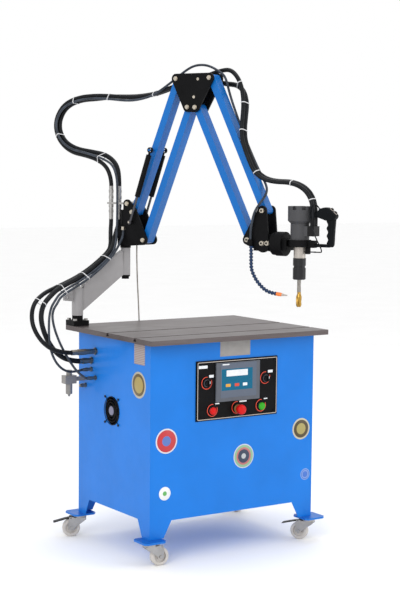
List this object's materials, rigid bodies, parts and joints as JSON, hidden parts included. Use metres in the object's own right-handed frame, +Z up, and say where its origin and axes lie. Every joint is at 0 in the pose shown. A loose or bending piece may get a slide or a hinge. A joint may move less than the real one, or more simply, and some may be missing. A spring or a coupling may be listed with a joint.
{
  "type": "arm tapping machine",
  "caption": "Workbench on casters with a hydraulic unit, and a jointed swing arm that holds a tapping head with a grip over the table.",
  "frame": {"origin": "on the floor under the middle of the cabinet", "axes": "+X to the right along the front, +Y from the control panel to the rear, +Z up"},
  "size_m": [1.1566, 1.343, 1.998],
  "materials": {
    "cabinet_paint": "glossy blue powder coat",
    "blue_tube": "blue painted steel tube",
    "black_paint": "satin black paint",
    "cream_paint": "light warm grey enamel",
    "ground_steel": "ground steel with fine scratches",
    "steel": "turned steel",
    "zinc": "zinc plated sheet",
    "bolt_steel": "yellow zinc plated bolts",
    "gold_coating": "gold coated tool steel",
    "brass_fitting": "nickel plated and bare brass",
    "hose_rubber": "smooth dark hose",
    "wheel_plastic": "light grey polyurethane",
    "black_plastic": "fine grained black plastic",
    "grey_plastic": "grey moulded plastic",
    "red_plastic": "red moulded plastic",
    "green_plastic": "green moulded plastic",
    "label_metal": "anodised label plate",
    "coolant_plastic": "navy blue jointed hose",
    "filter_plastic": "black filter head with a clear bowl"
  },
  "bodies": {
    "bench": {"table_top": "ground_steel", "cabinet_shell": "cabinet_paint", "rear_panel": "cabinet_paint", "base_tray": "cabinet_paint", "hydraulic_unit": "black_paint", "caster_mounts": "zinc", "control_panel": "black_paint", "switch_bodies": "grey_plastic", "screen_unit": "grey_plastic", "blank_plates": "label_metal", "fan_unit": "black_plastic", "bulkhead_fittings": "brass_fitting", "air_filter": "filter_plastic", "pivot_post": "black_paint", "post_fasteners": "zinc", "hoses_cabinet": "hose_rubber"},
    "fork_front_left": {"caster_fork_front_left": "zinc"},
    "wheel_front_left": {"caster_wheel_front_left": "wheel_plastic"},
    "fork_front_right": {"caster_fork_front_right": "zinc"},
    "wheel_front_right": {"caster_wheel_front_right": "wheel_plastic"},
    "pedal_front_right": {"brake_pedal_front_right": "black_plastic"},
    "fork_rear_left": {"caster_fork_rear_left": "zinc"},
    "wheel_rear_left": {"caster_wheel_rear_left": "wheel_plastic"},
    "pedal_rear_left": {"brake_pedal_rear_left": "black_plastic"},
    "fork_rear_right": {"caster_fork_rear_right": "zinc"},
    "wheel_rear_right": {"caster_wheel_rear_right": "wheel_plastic"},
    "fan": {"fan_rotor": "black_plastic"},
    "left_knob_turning": {"left_knob": "black_plastic"},
    "right_knob_turning": {"right_knob": "black_plastic"},
    "red_button_pushed": {"red_button": "red_plastic"},
    "green_button_pushed": {"green_button": "green_plastic"},
    "stop_button_pushed": {"stop_button": "red_plastic"},
    "swing": {"swing_arm": "cream_paint", "hoses_swing": "hose_rubber"},
    "arm_base": {"arm_base_bracket": "black_paint", "arm_base_bolts": "bolt_steel", "hose_couplers": "steel", "hoses_lower": "hose_rubber"},
    "lower_a": {"lower_link_a": "blue_tube", "hoses_elbow": "hose_rubber"},
    "lower_b": {"lower_link_b": "blue_tube"},
    "gas_rod_pair": {"gas_rods": "steel"},
    "gas_cylinder_pair": {"gas_cylinders": "black_paint"},
    "elbow": {"elbow_plates": "black_paint", "elbow_bolts": "bolt_steel", "hoses_upper": "hose_rubber"},
    "upper_c": {"upper_link_c": "blue_tube"},
    "upper_d": {"upper_link_d": "blue_tube"},
    "head": {"head_plates": "black_paint", "head_knuckle": "black_paint", "coolant_line": "coolant_plastic"},
    "tool": {"tool_holder": "black_paint", "motor": "black_paint", "handle": "black_plastic", "handle_lead": "hose_rubber", "hoses_head": "hose_rubber"},
    "spindle_turning": {"spindle": "steel", "tap": "gold_coating"},
    "thumb_near": {"thumb_button_near": "green_plastic"},
    "thumb_far": {"thumb_button_far": "red_plastic"}
  },
  "joints": [
    {"name": "swivel_front_left", "type": "hinge", "parent": "bench", "child": "fork_front_left", "pos_m": [-0.3955, -0.281, 0.082], "axis": [0, 0, 1], "continuous": true},
    {"name": "roll_front_left", "type": "hinge", "parent": "fork_front_left", "child": "wheel_front_left", "pos_m": [-0.35589, -0.28657, 0.0375], "axis": [0.1392, 0.9903, 0], "continuous": true},
    {"name": "swivel_front_right", "type": "hinge", "parent": "bench", "child": "fork_front_right", "pos_m": [0.3955, -0.281, 0.082], "axis": [0, 0, 1], "continuous": true},
    {"name": "roll_front_right", "type": "hinge", "parent": "fork_front_right", "child": "wheel_front_right", "pos_m": [0.37199, -0.24864, 0.0375], "axis": [-0.809, -0.5878, 0], "continuous": true},
    {"name": "brake_front_right", "type": "hinge", "parent": "fork_front_right", "child": "pedal_front_right", "pos_m": [0.37081, -0.24702, 0.081], "axis": [-0.809, -0.5878, 0], "range_deg": [0, 8]},
    {"name": "swivel_rear_left", "type": "hinge", "parent": "bench", "child": "fork_rear_left", "pos_m": [-0.3955, 0.281, 0.082], "axis": [0, 0, 1], "continuous": true},
    {"name": "roll_rear_left", "type": "hinge", "parent": "fork_rear_left", "child": "wheel_rear_left", "pos_m": [-0.43204, 0.29727, 0.0375], "axis": [-0.4067, -0.9135, 0], "continuous": true},
    {"name": "brake_rear_left", "type": "hinge", "parent": "fork_rear_left", "child": "pedal_rear_left", "pos_m": [-0.43387, 0.29808, 0.081], "axis": [-0.4067, -0.9135, 0], "range_deg": [0, 8]},
    {"name": "swivel_rear_right", "type": "hinge", "parent": "bench", "child": "fork_rear_right", "pos_m": [0.3955, 0.281, 0.082], "axis": [0, 0, 1], "continuous": true},
    {"name": "roll_rear_right", "type": "hinge", "parent": "fork_rear_right", "child": "wheel_rear_right", "pos_m": [0.43309, 0.29468, 0.0375], "axis": [-0.342, 0.9397, 0], "continuous": true},
    {"name": "fan_spin", "type": "hinge", "parent": "bench", "child": "fan", "pos_m": [-0.3908, 0.008, 0.578], "axis": [1, 0, 0], "continuous": true},
    {"name": "left_knob_turn", "type": "hinge", "parent": "bench", "child": "left_knob_turning", "pos_m": [-0.139, -0.291, 0.7095], "axis": [0, 1, 0], "range_deg": [-45, 45]},
    {"name": "right_knob_turn", "type": "hinge", "parent": "bench", "child": "right_knob_turning", "pos_m": [0.153, -0.291, 0.7095], "axis": [0, 1, 0], "range_deg": [-45, 45]},
    {"name": "red_button_push", "type": "slide", "parent": "bench", "child": "red_button_pushed", "axis": [0, 1, 0], "range_m": [0, 0.004], "stiffness_N_per_m": 600, "springref_m": -0.002},
    {"name": "green_button_push", "type": "slide", "parent": "bench", "child": "green_button_pushed", "axis": [0, 1, 0], "range_m": [0, 0.004], "stiffness_N_per_m": 600, "springref_m": -0.002},
    {"name": "stop_button_push", "type": "slide", "parent": "bench", "child": "stop_button_pushed", "axis": [0, 1, 0], "range_m": [0, 0.004]},
    {"name": "post_swing", "type": "hinge", "parent": "bench", "child": "swing", "pos_m": [-0.397, 0.309, 0.9423], "axis": [0, 0, 1], "range_deg": [-60, 120], "deforming": ["hoses_cabinet"]},
    {"name": "arm_swing", "type": "hinge", "parent": "swing", "child": "arm_base", "pos_m": [-0.1526, 0.32609, 1.105], "axis": [0, 0, 1], "range_deg": [-80, 140], "deforming": ["hoses_swing"]},
    {"name": "lower_lift", "type": "hinge", "parent": "arm_base", "child": "lower_a", "pos_m": [-0.1286, 0.27219, 1.377], "axis": [-0.9135, -0.4067, 0], "range_deg": [-30, 23], "deforming": ["hoses_lower"]},
    {"name": "lower_b_lift", "type": "hinge", "parent": "arm_base", "child": "lower_b", "pos_m": [-0.10521, 0.21965, 1.2593], "axis": [-0.9135, -0.4067, 0], "range_deg": [-31, 24]},
    {"name": "gas_lean", "type": "hinge", "parent": "arm_base", "child": "gas_rod_pair", "pos_m": [-0.12819, 0.27128, 1.334], "axis": [-0.9135, -0.4067, 0], "range_deg": [-28, 22]},
    {"name": "gas_stretch", "type": "slide", "parent": "gas_rod_pair", "child": "gas_cylinder_pair", "axis": [0.1286, -0.2889, 0.9487], "range_m": [-0.009, 0.007]},
    {"name": "elbow_level", "type": "hinge", "parent": "lower_a", "child": "elbow", "pos_m": [-0.03985, 0.07286, 1.93377], "axis": [-0.9135, -0.4067, 0], "range_deg": [-24, 31], "deforming": ["hoses_elbow"]},
    {"name": "upper_lift", "type": "hinge", "parent": "elbow", "child": "upper_c", "pos_m": [0.02624, -0.07559, 1.93377], "axis": [-0.9135, -0.4067, 0], "range_deg": [-30, 49], "deforming": ["hoses_upper"]},
    {"name": "upper_d_lift", "type": "hinge", "parent": "elbow", "child": "upper_d", "pos_m": [-0.00128, -0.01377, 1.81465], "axis": [-0.9135, -0.4067, 0], "range_deg": [-31, 50]},
    {"name": "head_level", "type": "hinge", "parent": "upper_c", "child": "head", "pos_m": [0.13081, -0.31046, 1.39718], "axis": [-0.9135, -0.4067, 0], "range_deg": [-50, 31]},
    {"name": "head_tilt", "type": "hinge", "parent": "head", "child": "tool", "pos_m": [0.15245, -0.35906, 1.26498], "axis": [0.4067, -0.9135, 0], "range_deg": [-90, 90], "deforming": ["hoses_head"]},
    {"name": "spindle_spin", "type": "hinge", "parent": "tool", "child": "spindle_turning", "pos_m": [0.19312, -0.45041, 1.26498], "axis": [0, 0, 1], "continuous": true},
    {"name": "thumb_near_push", "type": "slide", "parent": "tool", "child": "thumb_near", "axis": [-0.2636, 0.5921, -0.7615], "range_m": [0, 0.003], "stiffness_N_per_m": 400, "springref_m": -0.002},
    {"name": "thumb_far_push", "type": "slide", "parent": "tool", "child": "thumb_far", "axis": [-0.2636, 0.5921, -0.7615], "range_m": [0, 0.003], "stiffness_N_per_m": 400, "springref_m": -0.002}
  ],
  "couplings": [
    {"joint": "lower_b_lift", "follows": "lower_lift", "ratio": 1},
    {"joint": "elbow_level", "follows": "lower_lift", "ratio": -1},
    {"joint": "gas_lean", "follows": "lower_lift", "ratio": 0.8875},
    {"joint": "gas_stretch", "follows": "lower_lift", "m_per_rad": 0.016},
    {"joint": "upper_d_lift", "follows": "upper_lift", "ratio": 1},
    {"joint": "head_level", "follows": "upper_lift", "ratio": -1}
  ]
}
